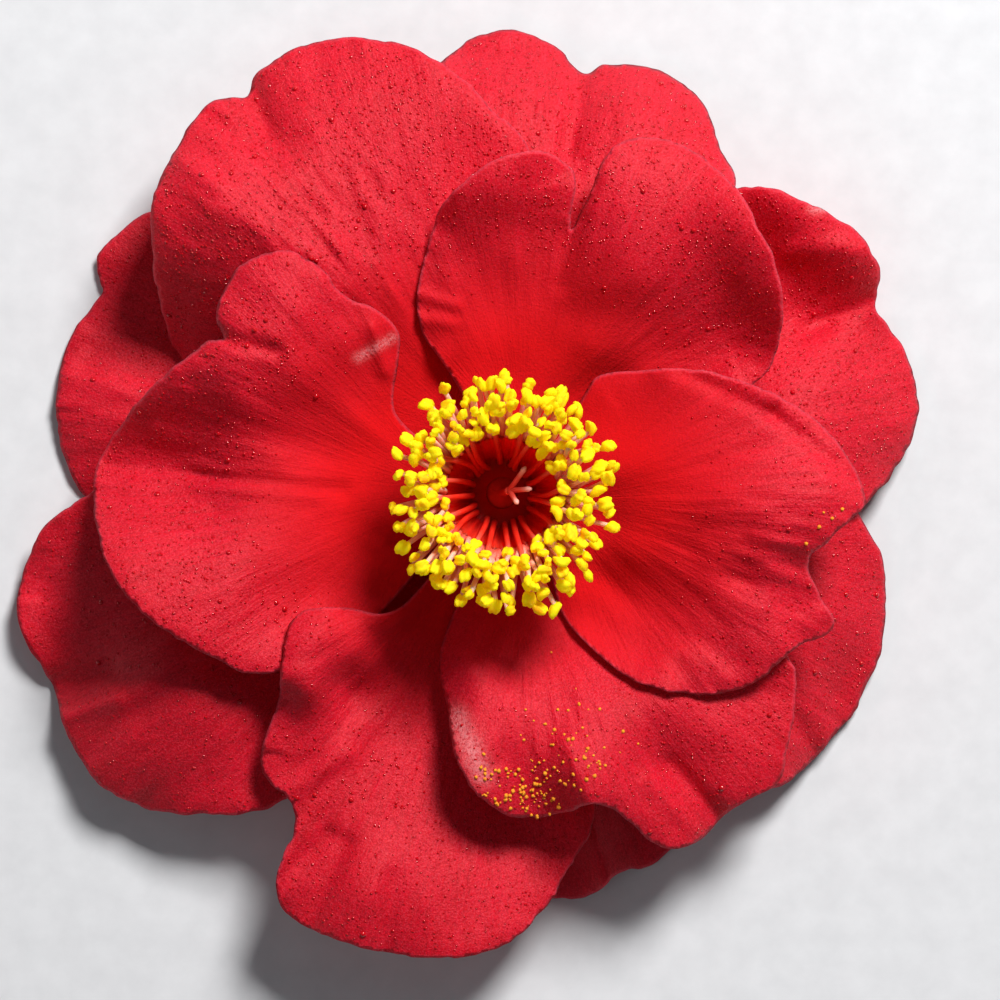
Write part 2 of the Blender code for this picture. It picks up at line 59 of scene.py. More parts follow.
# Petals
CELL = 0.5  # of the height map that keeps the petals apart
REACH = 66.0  # half the side of that map
PETAL_STEP = 0.48  # spacing of a fine petal's mesh
PETAL_THICK = 0.36
SEPAL_STEP = 0.8
SEPAL_THICK = 0.8
MARGIN_STEP = 0.8  # spacing of the points along a margin, as a share of the mesh's
MESH_OFF_MARGIN = 0.6  # inner points keep this share of the mesh's spacing off the margin
GAP = 0.22
OVER_TABLE = 0.02
NO_SHEET = -50.0  # height of the map where it holds no petal
CURVE_STEPS = 12  # points of a smooth curve between two given ones
POINTS_AT_ONCE = 4000  # compared with a margin, to keep the tables small
FACES_UP = 0.02  # least upward share of a normal of a CAD petal's upper face
SAME_PLACE = 0.02  # points of a CAD petal this near in plan are one above the other
CLAW_POINTS = 4  # nearest to the axis, that tell which way a petal points
PLATE_SPAN = 30.0  # length by which the smooth surface through a CAD face is scaled
PLATE_SLACK = 0.002
VEIN_POLE = 7.0  # radius from which a petal's veins fan out
ACROSS = 30.0  # radians across a petal times this are its material's millimetres
RIM_SHARE = 0.35  # thickness of a petal along its margin, as a share of the whole
RIM_WIDE = 1.5  # over which it thickens
HEART_FADE = 16.0  # over which a petal's heart, a smooth red painted to glow as if lit through and kept free of the painted sheen, gives way to the outer part with painted sheen
HEART_END = 28.0  # where that ends, from the vein pole
SHORT_HEARTS = {"petal_lower_right": 19.0, "petal_bottom": 25.0}

# Relief of a sheet, as (height, waves per radian across the veins, length along them)
SWELLS = ((0.55, 3.4, 13.0), (0.22, 8.0, 11.0))
RIBS = ((0.11, 22.0, 5.0), (0.07, 42.0, 3.5))
# Relief of its margin, as (height, length round the margin, how far in it reaches)
RUFFLE = (1.0, 6.5, 4.0)
FRILL = (0.3, 2.3, 1.5)
RIM_DROP = (0.25, 1.0)  # height, and how far in it reaches
# Waves of its outline, as (height, length)
FRAYS = ((0.22, 2.1), (0.12, 0.9))
WRINKLE_PATCH = 9.0  # size of the patches in which the ribs are stronger

PETALS_BACK_TO_FRONT = (
    "petal_back_bottom",
    "petal_back_lower_right",
    "petal_back_upper_right",
    "petal_back_upper_left",
    "petal_back_lower_left",
    "petal_back_top",
    "petal_back_top_left",
    "petal_top",
    "petal_left",
    "petal_bottom",
    "petal_lower_right",
    "petal_right",
)

# Folds and creases on top of the CAD relief: (from, to, width, height), the ends as (degrees, mm)
CREASES = {
    "petal_back_top_left": (
        ((128, 33), (135, 56), 3.0, 0.9),
        ((118, 34), (116, 44), 0.8, -0.3),
        ((126, 33), (128, 42), 0.8, -0.3),
        ((123, 54), (121, 62), 1.2, -0.9),
        ((128, 60), (126, 54), 1.0, -0.6),
        ((134, 58), (133, 52), 1.2, 0.6),
    ),
    "petal_left": (
        ((154, 37), (176, 35), 5.0, 2.2),
        ((180, 51), (171, 49), 5.0, -1.5),
        ((157, 25), (166, 24), 4.5, -1.5),
        ((208, 26), (206, 30), 5.0, -2.2),
        ((134, 21), (128, 26), 0.8, 0.8),
        ((151, 40), (148, 33), 1.0, -0.9),
        ((179, 20), (176, 50), 1.0, -0.6),
        ((172, 28), (170, 44), 1.2, 0.4),
        ((184, 24), (183, 36), 0.9, -0.35),
    ),
    "petal_top": (
        ((104, 35), (116, 22), 3.5, -2.5),
        ((113, 27), (104, 24), 0.8, 0.6),
        ((115, 24), (106, 22), 0.8, 0.5),
        ((75, 33), (74.5, 27), 1.0, -0.5),
        ((46, 46), (42, 40), 1.3, 0.5),
    ),
    "petal_back_upper_right": (
        ((44, 43), (31, 44), 5.0, -1.8),
        ((34, 56), (40, 47), 1.4, 0.8),
        ((28, 53), (28, 44), 1.2, -0.9),
    ),
    "petal_right": (
        ((-62, 18), (-46, 34), 4.0, -2.2),
        ((-23, 19), (-14.5, 33), 4.0, 1.8),
        ((34, 27), (16, 35), 1.0, -0.8),
        ((16, 35), (2, 44), 1.0, -0.7),
        ((-14, 39), (-12, 31), 1.1, -0.6),
    ),
    "petal_lower_right": (
        ((-74, 41), (-76, 32), 1.2, 0.8),
        ((-56, 50), (-58, 40), 1.2, -0.9),
        ((-60, 49), (-63, 40), 1.1, 0.7),
    ),
    "petal_bottom": (
        ((222, 39), (232, 36), 5.0, 2.4),
        ((234, 47), (239, 38), 1.3, 0.8),
        ((246, 60), (246, 48), 1.2, -0.7),
        ((256, 60), (254, 50), 1.3, -0.6),
        ((240, 56), (243, 48), 1.2, -0.7),
    ),
    "petal_back_lower_left": (
        ((200, 46), (220, 45), 7.0, 2.2),
        ((203, 63), (204, 54), 1.2, -1.1),
        ((207, 63), (208, 55), 1.2, 1.0),
        ((212, 62), (209, 44), 1.1, -0.4),
    ),
    "petal_back_upper_left": (((165, 57), (164, 43), 1.6, 0.9),),
    "petal_back_top": (((79, 55), (79, 44), 1.2, -0.8),),
    "petal_back_lower_right": (((-40, 53), (-36, 42), 1.2, -0.8),),
    "petal_back_bottom": (((-75, 52), (-75, 42), 1.2, 0.9),),
}

# Where a petal is wrinkled along its veins: (degrees, mm, radius, how much more than elsewhere)
WRINKLED = {
    "petal_back_top_left": (127, 37, 11, 3.2),
    "petal_left": (176, 38, 11, 1.6),
    "petal_right": (-6, 32, 12, 1.6),
    "petal_back_lower_left": (206, 50, 12, 1.6),
    "petal_bottom": (248, 36, 12, 1.2),
    "petal_lower_right": (-80, 30, 9, 1.2),
    "petal_back_upper_left": (166, 52, 7, 1.5),
    "petal_top": (62, 32, 9, 1.2),
    "petal_back_top": (80, 48, 8, 1.2),
}

# Where the surface is painted pale, partly as wear and partly as a painted highlight on folds: (from,
# to, width), the ends as (degrees, mm)
WEAR_AND_HIGHLIGHT = {
    "petal_lower_right": ((-101, 28.5), (-94, 35), 1.4),
    "petal_left": ((137, 24.6), (125, 23.6), 0.55),
    "petal_back_upper_right": ((41.5, 53.5), (42.5, 52.5), 0.5),
}

# How much of each petal is covered with dew, against the wettest
DEW = {
    "petal_back_top": 1.0,
    "petal_back_top_left": 0.9,
    "petal_top": 0.7,
    "petal_left": 0.8,
    "petal_back_upper_right": 0.8,
    "petal_back_lower_right": 0.6,
    "petal_right": 0.4,
    "petal_bottom": 0.4,
    "petal_lower_right": 0.5,
    "petal_back_lower_left": 0.25,
    "petal_back_upper_left": 0.3,
}
DEW_PER_MM2 = 1.6
DEW_INNER_R = 24  # inside this the petals are dry
DEW_FADE = 14  # over which they get wet
DEW_PATCH = 8.0
DEW_OFF_MARGIN = 0.7
DROP_R = 0.13
DROP_R_MORE = 0.1  # the greatest that chance adds to it
BIG_DROP_MORE = 0.22
BIG_DROPS = 0.012  # share of the drops
DROP_FLAT = 0.45  # height of a drop against its radius
DROP_RISE = 0.12  # how far its middle stands over the petal, against its radius
SLOPE_STEP = 0.6  # over which a petal's slope is taken

POLLEN_PATCHES = (  # (petal, degrees, mm, spread, grains)
    ("petal_lower_right", -84, 37.5, 2.4, 80),
    ("petal_lower_right", -91, 37.0, 2.0, 36),
    ("petal_lower_right", -76, 31, 3.6, 38),
    ("petal_lower_right", -71.5, 35.7, 0.9, 14),
    ("petal_right", -7, 41.5, 2.2, 12),
)

# Stamens and pistil
WHORLS = (  # (how many, radius of the anthers, how far they are under the highest)
    (34, 13.5, 3.6),
    (42, 12.4, 2.2),
    (44, 11.3, 0.9),
    (42, 10.1, 0.3),
    (36, 9.0, 0.9),
    (22, 8.1, 2.4),
)
RING_STRETCH = (0.95, 1.05)  # the ring of anthers is longer along Y than along X
TUBE_FOOT = (4.3, 6.4)  # inner and outer radius of the tube at its foot
TUBE_HEAD = (6.9, 7.6)
# (radius, depth under its foot) of the tube's floor and of the collar round the receptacle
UNDER_TUBE = ((2.0, -0.5), (2.0, 0.0), (4.2, 0.4), (4.2, 3.4), (4.8, 3.4), (4.8, 0.3))
TUBE_RIBS = 44
TUBE_RIB_HIGH = 0.16
TUBE_WALL_ROWS = 14
FREE_FROM = 0.44  # share of the stamens' height at which the outer filaments part
TUBE_SHARE = 0.42  # colour of the tube's head, on the way from a filament's foot to its end
FILAMENT_R = 0.37
FILAMENT_SIDES = 8
FILAMENT_ROWS = 12
FILAMENT_LEAN = 1.6  # power by which a filament curves outwards
FILAMENT_SWAY = 0.28
ANTHER_LONG = 2.3
ANTHER_WIDE = 1.6
ANTHER_DEEP = 0.42  # against its width
ANTHER_UNDER_TOP = 1.2
OVARY_SIDES = 16
ARM_SIDES = 10
ARM_TIPS = ((2.9, 3.2), (3.6, 0.5), (1.9, -1.3))

# Camera and light
CAMERA_AT = Vector((-0.25, -0.875, 700))  # from the flower's axis
CAMERA_SEES = 125.0  # width of the view at the petals
PETAL_LEVEL = 14.0
SENSOR = 36
KEY_FROM = (62, 47)  # degrees round the axis, and above the table
FILL_FROM = (215, 55)
FLOOR_SIZE = 6
FLOOR_DROP = 0.0002
SKY = (0.9, 0.93, 1.0, 1)
SKY_STRENGTH = 0.10


def polar(degrees, radius):
    turn = np.radians(degrees)
    return np.array([radius * np.cos(turn), radius * np.sin(turn)])


# ---------------------------------------------------------------- mesh helpers


def new_object(name, points, faces, material):
    """A smooth-shaded object from points in millimetres round the axis."""
    mesh = bpy.data.meshes.new(name)
    placed = (np.asarray(points, float) + np.array(AXIS)) * MM
    mesh.from_pydata(placed.tolist(), [], [list(map(int, face)) for face in faces])
    mesh.validate()
    mesh.shade_smooth()
    for each in material if isinstance(material, tuple) else (material,):
        mesh.materials.append(each)
    obj = bpy.data.objects.new(name, mesh)
    bpy.context.scene.collection.objects.link(obj)
    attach(obj, "root")
    return obj


def add_values(obj, **values):
    """Gives each point of the mesh a number that its material reads."""
    for name, numbers in values.items():
        attribute = obj.data.attributes.new(name, "FLOAT", "POINT")
        attribute.data.foreach_set("value", np.asarray(numbers, np.float32))


class Parts:
    """Points, faces and values of many small shapes that become one mesh."""

    def __init__(self):
        self.points, self.faces, self.values, self.slots = [], [], [], []
        self.count = 0

    def add(self, points, faces, values, slot=0):
        self.points.append(points)
        self.faces += [[self.count + i for i in face] for face in faces]
        self.values.append(np.broadcast_to(values, len(points)))
        self.slots += [slot] * len(faces)
        self.count += len(points)

    def build(self, name, material):
        obj = new_object(name, np.concatenate(self.points), self.faces, material)
        add_values(obj, share=np.concatenate(self.values))
        obj.data.polygons.foreach_set("material_index", self.slots)
        return obj


class Noise:
    """Smooth noise between -1 and 1 over a plane, the same on each run."""

    def __init__(self, seed, size=64):
        self.size = size
        self.table = np.random.default_rng(seed).uniform(-1, 1, (size, size))

    def at(self, u, v):
        i, j = np.floor(u).astype(int), np.floor(v).astype(int)
        s, t = u - i, v - j
        s, t = s * s * (3 - 2 * s), t * t * (3 - 2 * t)
        i, j, k, l = i % self.size, j % self.size, (i + 1) % self.size, (j + 1) % self.size
        low = self.table[i, j] * (1 - s) + self.table[k, j] * s
        high = self.table[i, l] * (1 - s) + self.table[k, l] * s
        return low * (1 - t) + high * t


def smooth_loop(points, step):
    """A closed Catmull-Rom curve through the points, as points this far apart."""
    before, after, second = (np.roll(points, k, axis=0) for k in (1, -1, -2))
    t = np.linspace(0, 1, CURVE_STEPS, endpoint=False)[None, :, None]
    a, b, c, d = (p[:, None, :] for p in (before, points, after, second))
    square_term, cube_term = 2 * a - 5 * b + 4 * c - d, 3 * b - a - 3 * c + d
    fine = 0.5 * (2 * b + (c - a) * t + square_term * t**2 + cube_term * t**3)
    fine = fine.reshape(-1, 2)
    fine = np.vstack([fine, fine[:1]])
    run = np.concatenate([[0], np.cumsum(np.linalg.norm(np.diff(fine, axis=0), axis=1))])
    at = np.linspace(0, run[-1], int(run[-1] / step), endpoint=False)
    return np.stack([np.interp(at, run, fine[:, k]) for k in (0, 1)], axis=1)


def inside(points, loop):
    """Which of the points lie inside the closed loop."""
    x, y = points[:, 0][:, None], points[:, 1][:, None]
    a, b = loop, np.roll(loop, -1, axis=0)
    crosses = (a[:, 1] > y) != (b[:, 1] > y)
    rise = np.where(b[:, 1] == a[:, 1], 1e-12, b[:, 1] - a[:, 1])
    left = x < a[:, 0] + (y - a[:, 1]) * (b[:, 0] - a[:, 0]) / rise
    return (crosses & left).sum(axis=1) % 2 == 1


def from_margin(points, loop):
    """Distance of each point from the loop, and how far round the loop its nearest point is."""
    best = np.full(len(points), 1e9)
    nearest = np.zeros(len(points), int)
    for start in range(0, len(points), POINTS_AT_ONCE):
        some = slice(start, start + POINTS_AT_ONCE)
        apart = np.linalg.norm(points[some, None, :] - loop[None], axis=2)
        nearest[some] = apart.argmin(axis=1)
        best[some] = apart.min(axis=1)
    step = np.linalg.norm(np.roll(loop, -1, axis=0) - loop, axis=1).mean()
    return best, nearest * step


def along_stretch(points, start, end):
    """Distance of each point from the stretch between two points given as (degrees, mm)."""
    a, b = polar(*start), polar(*end)
    share = np.clip((points - a) @ (b - a) / max((b - a) @ (b - a), 1e-9), 0, 1)
    return np.linalg.norm(points - a - share[:, None] * (b - a), axis=1)


# ---------------------------------------------------------------- petals


def cad_sheet(node):
    """A CAD petal's margin, in order, and the points of its upper face, in mm round the axis."""
    mesh = NODES[node].data
    mesh.calc_loop_triangles()
    points = np.array([v.co for v in mesh.vertices]) / MM - np.array(AXIS)
    corners = np.array([t.vertices for t in mesh.loop_triangles])
    a, b, c = (points[corners[:, k]] for k in range(3))
    up = np.cross(b - a, c - a)
    top = corners[up[:, 2] > FACES_UP * np.linalg.norm(up, axis=1)]
    _, first, column = np.unique(
        np.round(points[:, :2] / SAME_PLACE).astype(int), axis=0, return_index=True, return_inverse=True
    )
    column = column.ravel()
    height = np.full(len(first), -1e9)
    np.maximum.at(height, column, points[:, 2])
    plan = points[first][:, :2]
    after = {}
    seen = set()
    for triangle in column[top]:
        for k in range(3):
            seen.add((triangle[k], triangle[(k + 1) % 3]))
    for start, end in seen:
        if (end, start) not in seen:
            after[start] = end
    loop = [min(after)]
    while after[loop[-1]] != loop[0]:
        loop.append(after[loop[-1]])
    return plan[loop], np.column_stack([plan, height])


def thin_plate(points):
    """A smooth surface near the points: a function from plan points to heights."""

    def bend(a, b):
        square = ((a[:, None, :] - b[None]) ** 2).sum(axis=2)
        return 0.5 * square * np.log(square + 1e-9)

    plan, z = points[:, :2] / PLATE_SPAN, points[:, 2]
    flat = np.column_stack([np.ones(len(plan)), plan])
    bent = bend(plan, plan) + PLATE_SLACK * np.eye(len(plan))
    left = np.block([[bent, flat], [flat.T, np.zeros((3, 3))]])
    found = np.linalg.solve(left, np.concatenate([z, np.zeros(3)]))

    def height(where):
        where = where / PLATE_SPAN
        return bend(where, plan) @ found[:-3] + found[-3] + where @ found[-2:]

    return height


def hump(off, width):
    """A smooth rise that is 1 where the distance is 0, and near 0 beyond twice the width."""
    return np.exp(-((off / width) ** 2))


def outer(points, start, fade):
    """0 near the flower's axis and 1 outside it, with a fade from this radius on."""
    return np.clip((np.linalg.norm(points, axis=1) - start) / fade, 0, 1)


class HeightMap:
    """Heights on a square grid over the flower."""

    def __init__(self):
        side = np.arange(-REACH, REACH + CELL / 2, CELL)
        self.count = len(side)
        x, y = np.meshgrid(side, side, indexing="ij")
        self.points = np.column_stack([x.ravel(), y.ravel()])
        self.z = np.zeros((self.count, self.count))

    def read(self, points):
        at = (points + REACH) / CELL
        i = np.clip(at.astype(int), 0, self.count - 2)
        s, t = (at - i).T
        i, j = i.T
        z = self.z
        low = z[i, j] * (1 - s) + z[i + 1, j] * s
        high = z[i, j + 1] * (1 - s) + z[i + 1, j + 1] * s
        return low * (1 - t) + high * t


def widened(z, cells):
    """Each cell's highest neighbour within this many cells."""
    for axis in (0, 1):
        for _ in range(cells):
            z = np.maximum.reduce([z, np.roll(z, 1, axis), np.roll(z, -1, axis)])
    return z


def blurred(z, cells):
    for _ in range(cells):
        z = (z + np.roll(z, 1, 0) + np.roll(z, -1, 0)) / 3
        z = (z + np.roll(z, 1, 1) + np.roll(z, -1, 1)) / 3
    return z


class Sheet:
    """A petal, sepal or bract as a fine sheet laid on those below it."""

    def __init__(self, node, step, thick, seed):
        self.node, self.step, self.thick, self.seed = node, step, thick, seed
        margin, points = cad_sheet(node)
        self.loop = self.frayed(smooth_loop(margin, step * MARGIN_STEP))
        claw = points[np.argsort(np.linalg.norm(points[:, :2], axis=1))[:CLAW_POINTS], :2].mean(axis=0)
        self.heading = np.arctan2(claw[1], claw[0])
        self.base = thin_plate(points)
        self.map = HeightMap()

    def frayed(self, loop):
        """The margin with its fine waves, outwards and inwards."""
        run = np.arange(len(loop)) * self.step * MARGIN_STEP
        noise = Noise(self.seed + 200)
        wave = 0
        for (deep, length), row in zip(FRAYS, (0.5, 5.5)):
            wave = wave + deep * noise.at(run / length, np.full(len(run), row))
        fade = np.minimum(1, np.minimum(run, run[-1] - run) / 2)
        along = np.roll(loop, -1, axis=0) - np.roll(loop, 1, axis=0)
        out = np.column_stack([along[:, 1], -along[:, 0]]) / np.linalg.norm(along, axis=1)[:, None]
        return loop + out * (wave * fade * outer(loop, 20, 10))[:, None]

    def fan(self, points):
        """Where each point lies among the veins: (radians from the midrib, mm from the pole)."""
        pole = VEIN_POLE * np.array([np.cos(self.heading), np.sin(self.heading)])
        off = points - pole
        turn = np.arctan2(off[:, 1], off[:, 0]) - self.heading
        return (turn + np.pi) % (2 * np.pi) - np.pi, np.linalg.norm(off, axis=1)

    def relief(self, points):
        """Undulations, creases and the curl of the margin, over the CAD face."""
        across, reach = self.fan(points)
        edge, round_margin = from_margin(points, self.loop)
        noise = Noise(self.seed)
        z = np.zeros(len(points))
        for (tall, waves, length), (right, up) in zip(SWELLS, ((9, 0), (30, 7))):
            z += tall * noise.at(across * waves + right, reach / length + up)
        for (tall, length, wide), row in zip((RUFFLE, FRILL), (3.3, 8.3)):
            z += tall * noise.at(round_margin / length, np.full(len(points), row)) * hump(edge, wide)
        z -= RIM_DROP[0] * hump(edge, RIM_DROP[1])
        z *= outer(points, 9, 16)
        for start, end, width, tall in CREASES.get(self.node, ()):
            z += tall * hump(along_stretch(points, start, end), width)
        return z

    def wrinkles(self, points):
        """The fine ribs between the veins."""
        across, reach = self.fan(points)
        noise = Noise(self.seed + 100)
        patch = 0.45 + 0.55 * np.clip(noise.at(*(points.T / WRINKLE_PATCH)) + 0.5, 0, 1)
        z = 0
        for (tall, waves, length), (right, up) in zip(RIBS, ((50, 11), (10, 5))):
            z = z + tall * noise.at(across * waves + right, reach / length + up)
        if self.node in WRINKLED:
            degrees, radius, wide, more = WRINKLED[self.node]
            patch = patch + more * hump(np.linalg.norm(points - polar(degrees, radius), axis=1), wide)
        return outer(points, 12, 14) * patch * z

    def lay_on(self, ground):
        """Keeps the sheet above the height map of what is below it, and adds it to that map."""
        grid = self.map.points
        beside = 4 * CELL
        low, high = self.loop.min(axis=0) - beside, self.loop.max(axis=0) + beside
        near = np.all((grid > low) & (grid < high), axis=1)
        z = np.full(len(grid), NO_SHEET)
        z[near] = self.base(grid[near]) + self.relief(grid[near])
        covered = np.zeros(len(grid), bool)
        covered[near] = inside(grid[near], self.loop)
        shape = ground.z.shape
        z, covered = z.reshape(shape), covered.reshape(shape)
        wide = widened(covered, 2)
        support = np.maximum(widened(ground.z, 1) + GAP, OVER_TABLE)
        need = np.where(wide, support + self.thick - z, 0)
        lift = blurred(widened(np.maximum(need, 0), 3), 3)
        self.map.z = z + np.where(wide, lift, 0)
        ground.z = np.where(covered, np.maximum(ground.z, self.map.z), ground.z)

    def build(self, material):
        """The closed sheet: a face and a back that meet along a thin margin."""
        edge_count = len(self.loop)
        low, high = self.loop.min(axis=0), self.loop.max(axis=0)
        rows = np.arange(low[1], high[1], self.step * math.sqrt(3) / 2)
        columns = np.arange(low[0], high[0], self.step)
        x, y = np.meshgrid(columns, rows)
        x[1::2] += self.step / 2
        grid = np.column_stack([x.ravel(), y.ravel()])
        grid = grid[inside(grid, self.loop)]
        grid = grid[from_margin(grid, self.loop)[0] > MESH_OFF_MARGIN * self.step]
        plan = [Vector(p) for p in np.vstack([self.loop, grid]).tolist()]
        made = delaunay_2d_cdt(plan, [], [list(range(edge_count))], 1, 1e-6)
        points, faces = np.array([tuple(p) for p in made[0]]), np.array(made[2])
        rim = from_margin(points, self.loop)[0]
        rim[:edge_count] = 0
        top = self.map.read(points) + self.wrinkles(points)
        thin = self.thick * np.clip(RIM_SHARE + (1 - RIM_SHARE) * rim / RIM_WIDE, 0, 1)
        top[:edge_count] -= thin[:edge_count] / 2
        inner = np.arange(edge_count, len(points))
        back = np.arange(len(points))
        back[inner] = len(points) + np.arange(len(inner))
        solid = np.vstack(
            [np.column_stack([points, top]), np.column_stack([points[inner], (top - thin)[inner]])]
        )
        # Mask of the pale patches: partly wear, partly a painted highlight on folds
        worn = np.zeros(len(solid))
        if self.node in WEAR_AND_HIGHLIGHT:
            start, end, width = WEAR_AND_HIGHLIGHT[self.node]
            worn = hump(along_stretch(solid[:, :2], start, end), width)
        faces = np.vstack([faces, back[faces][:, ::-1]])
        obj = new_object(f"{self.node}_fine", solid, faces, material)
        across, reach = self.fan(solid[:, :2])
        heart = np.clip((SHORT_HEARTS.get(self.node, HEART_END) - reach) / HEART_FADE, 0, 1)
        rim = np.concatenate([rim, rim[inner]])
        add_values(obj, across=across * ACROSS, reach=reach, rim=rim, worn=worn, heart=heart)
        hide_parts(self.node)
        return obj


# ---------------------------------------------------------------- materials


class Material:
    """A Principled material with short ways to add the nodes that it needs."""

    def __init__(self, name):
        self.made = bpy.data.materials.new(name)
        self.made.use_nodes = True
        self.tree = self.made.node_tree
        self.shader = self.tree.nodes["Principled BSDF"]

    def node(self, kind, settings=None, **inputs):
        made = self.tree.nodes.new(kind)
        for name, value in (settings or {}).items():
            setattr(made, name, value)
        for name, value in inputs.items():
            self.put(made, name.replace("_", " "), value)
        return made

    def put(self, made, name, value):
        """Sets an input of a node by its name or number, or links it to another node's output."""
        socket = made.inputs[name]
        if isinstance(value, bpy.types.NodeSocket):
            self.tree.links.new(value, socket)
        else:
            socket.default_value = value

    def value(self, name):
        return self.node("ShaderNodeAttribute", {"attribute_name": name}).outputs["Fac"]

    def maths(self, operation, a, b=0.0):
        made = self.node("ShaderNodeMath", {"operation": operation})
        self.put(made, 0, a)
        self.put(made, 1, b)
        return made.outputs[0]

    def ramp(self, factor, *stops):
        """A colour or grey ramp through (position, colour) stops."""
        made = self.node("ShaderNodeValToRGB", Fac=factor)
        elements = made.color_ramp.elements
        while len(elements) < len(stops):
            elements.new(0.5)
        for element, (place, colour) in zip(elements, stops):
            element.position = place
            element.color = (*colour, 1) if isinstance(colour, tuple) else (colour, colour, colour, 1)
        return made.outputs["Color"]

    def mix(self, factor, a, b, blend="MIX"):
        made = self.node("ShaderNodeMix", {"data_type": "RGBA", "blend_type": blend})
        self.put(made, 0, factor)
        self.put(made, 6, a)
        self.put(made, 7, b)
        return made.outputs[2]

    def noise(self, vector, scale, detail=3.0, roughness=0.55):
        made = self.node("ShaderNodeTexNoise", Scale=scale, Detail=detail, Roughness=roughness)
        self.put(made, "Vector", vector)
        return made.outputs["Fac"]

    def vector(self, x, y, z=0.0):
        return self.node("ShaderNodeCombineXYZ", X=x, Y=y, Z=z).outputs[0]

    def place(self):
        """The point's place in millimetres."""
        made = self.node("ShaderNodeTexCoord").outputs["Object"]
        scaled = self.node("ShaderNodeVectorMath", {"operation": "SCALE"})
        self.put(scaled, 0, made)
        scaled.inputs["Scale"].default_value = 1 / MM
        return scaled.outputs[0]

    def bump(self, height, distance, strength=1.0, under=None):
        made = self.node("ShaderNodeBump", Height=height, Distance=distance * MM, Strength=strength)
        if under is not None:
            self.put(made, "Normal", under)
        return made.outputs[0]

    def finish(self, **inputs):
        for name, value in inputs.items():
            self.put(self.shader, name.replace("_", " "), value)
        return self.made


def petal_material():
    m = Material("petal_velvet")
    across, reach, rim = (m.value(n) for n in ("across", "reach", "rim"))
    worn, heart = (m.value(n) for n in ("worn", "heart"))
    place = m.place()
    veins = m.noise(m.vector(across, m.maths("MULTIPLY", reach, 0.08)), 1.3, 4.0)
    fan = m.vector(m.maths("MULTIPLY", across, 1.6), m.maths("MULTIPLY", reach, 0.22))
    threads = m.noise(fan, 3.2, 2.0)
    blotches = m.noise(place, 0.09, 3.0)
    grain = m.noise(place, 2.4, 2.5, 0.75)
    pores = m.noise(place, 4.5, 1.5, 0.7)
    deep, full, warm = (0.54, 0.0004, 0.009), (0.66, 0.0006, 0.014), (0.74, 0.0016, 0.021)
    colour = m.ramp(veins, (0.30, deep), (0.5, full), (0.75, warm))
    colour = m.mix(m.ramp(blotches, (0.35, 0.0), (0.7, 0.5)), colour, (*warm, 1))
    threaded = m.mix(0.45, colour, m.ramp(threads, (0.32, 0.55), (0.55, 1.0)), "MULTIPLY")
    speckled = m.mix(0.45, threaded, m.ramp(grain, (0.34, 0.5), (0.54, 1.0)), "MULTIPLY")
    # Pale pink specks over the outer part are a painted sheen of light glinting on the velvet; the heart
    # is kept free of it
    sheen_specks = m.ramp(pores, (0.46, 0.0), (0.66, 0.7))
    painted_sheen = m.maths("MULTIPLY", sheen_specks, m.maths("SUBTRACT", 1.0, heart))
    with_painted_sheen = m.mix(painted_sheen, speckled, (0.80, 0.03, 0.055, 1))
    # The heart's smooth red is a painted glow of light shining through the petal
    glowing = m.mix(heart, with_painted_sheen, (0.66, 0.0002, 0.003, 1))
    # The paler margin is a painted highlight of light shining through the thin rim
    edge = m.ramp(m.maths("MULTIPLY", rim, 0.5), (0.0, 0.7), (0.22, 0.0))
    with_rim_light = m.mix(edge, glowing, (0.88, 0.06, 0.10, 1))
    # Pale patches, partly wear and partly a painted highlight on folds, broken up by the grain
    wear_and_highlight_marks = m.maths("MULTIPLY", worn, m.ramp(grain, (0.38, 0.2), (0.56, 1.0)))
    with_wear_and_highlight = m.mix(m.maths("MULTIPLY", wear_and_highlight_marks, 0.8), with_rim_light, (0.86, 0.24, 0.25, 1))
    ribs = m.bump(threads, 0.08, 0.7)
    stippled = m.bump(grain, 0.14, 0.9, m.bump(veins, 0.25, 0.6, ribs))
    normal = m.bump(pores, 0.08, 0.8, stippled)
    rough = m.mix(heart, m.ramp(grain, (0.35, 0.66), (0.65, 0.48)), (0.9, 0.9, 0.9, 1))
    m.put(m.shader, "Sheen Tint", (1.0, 0.42, 0.5, 1))
    m.put(m.shader, "Subsurface Radius", (1.0, 0.06, 0.06))
    return m.finish(
        Base_Color=with_wear_and_highlight,
        Roughness=rough,
        Normal=normal,
        Specular_IOR_Level=0.22,
        Sheen_Weight=0.03,
        Sheen_Roughness=0.5,
        Subsurface_Weight=0.3,
        Subsurface_Scale=1.2 * MM,
    )


def sepal_material():
    m = Material("sepal_scale")
    across, reach, rim = (m.value(n) for n in ("across", "reach", "rim"))
    streaks = m.noise(m.vector(across, m.maths("MULTIPLY", reach, 0.15)), 1.5, 4.0)
    dark, mid, pale = (0.07, 0.10, 0.02), (0.17, 0.2, 0.06), (0.30, 0.24, 0.10)
    colour = m.ramp(streaks, (0.3, dark), (0.55, mid), (0.8, pale))
    edge = m.ramp(m.maths("MULTIPLY", rim, 0.5), (0.0, 0.8), (0.6, 0.0))
    dry = m.mix(edge, colour, (0.16, 0.07, 0.03, 1))
    normal = m.bump(streaks, 0.2, 0.8)
    m.put(m.shader, "Sheen Tint", (0.8, 0.8, 0.6, 1))
    return m.finish(
        Base_Color=dry,
        Roughness=0.55,
        Normal=normal,
        Sheen_Weight=0.3,
        Sheen_Roughness=0.4,
    )


def stalk_material():
    m = Material("stalk_bark")
    place = m.place()
    bark = m.noise(place, 0.9, 5.0)
    dark, mid, pale = (0.06, 0.05, 0.02), (0.14, 0.13, 0.05), (0.26, 0.2, 0.1)
    colour = m.ramp(bark, (0.3, dark), (0.55, mid), (0.8, pale))
    return m.finish(Base_Color=colour, Roughness=0.75, Normal=m.bump(bark, 0.3, 0.9))


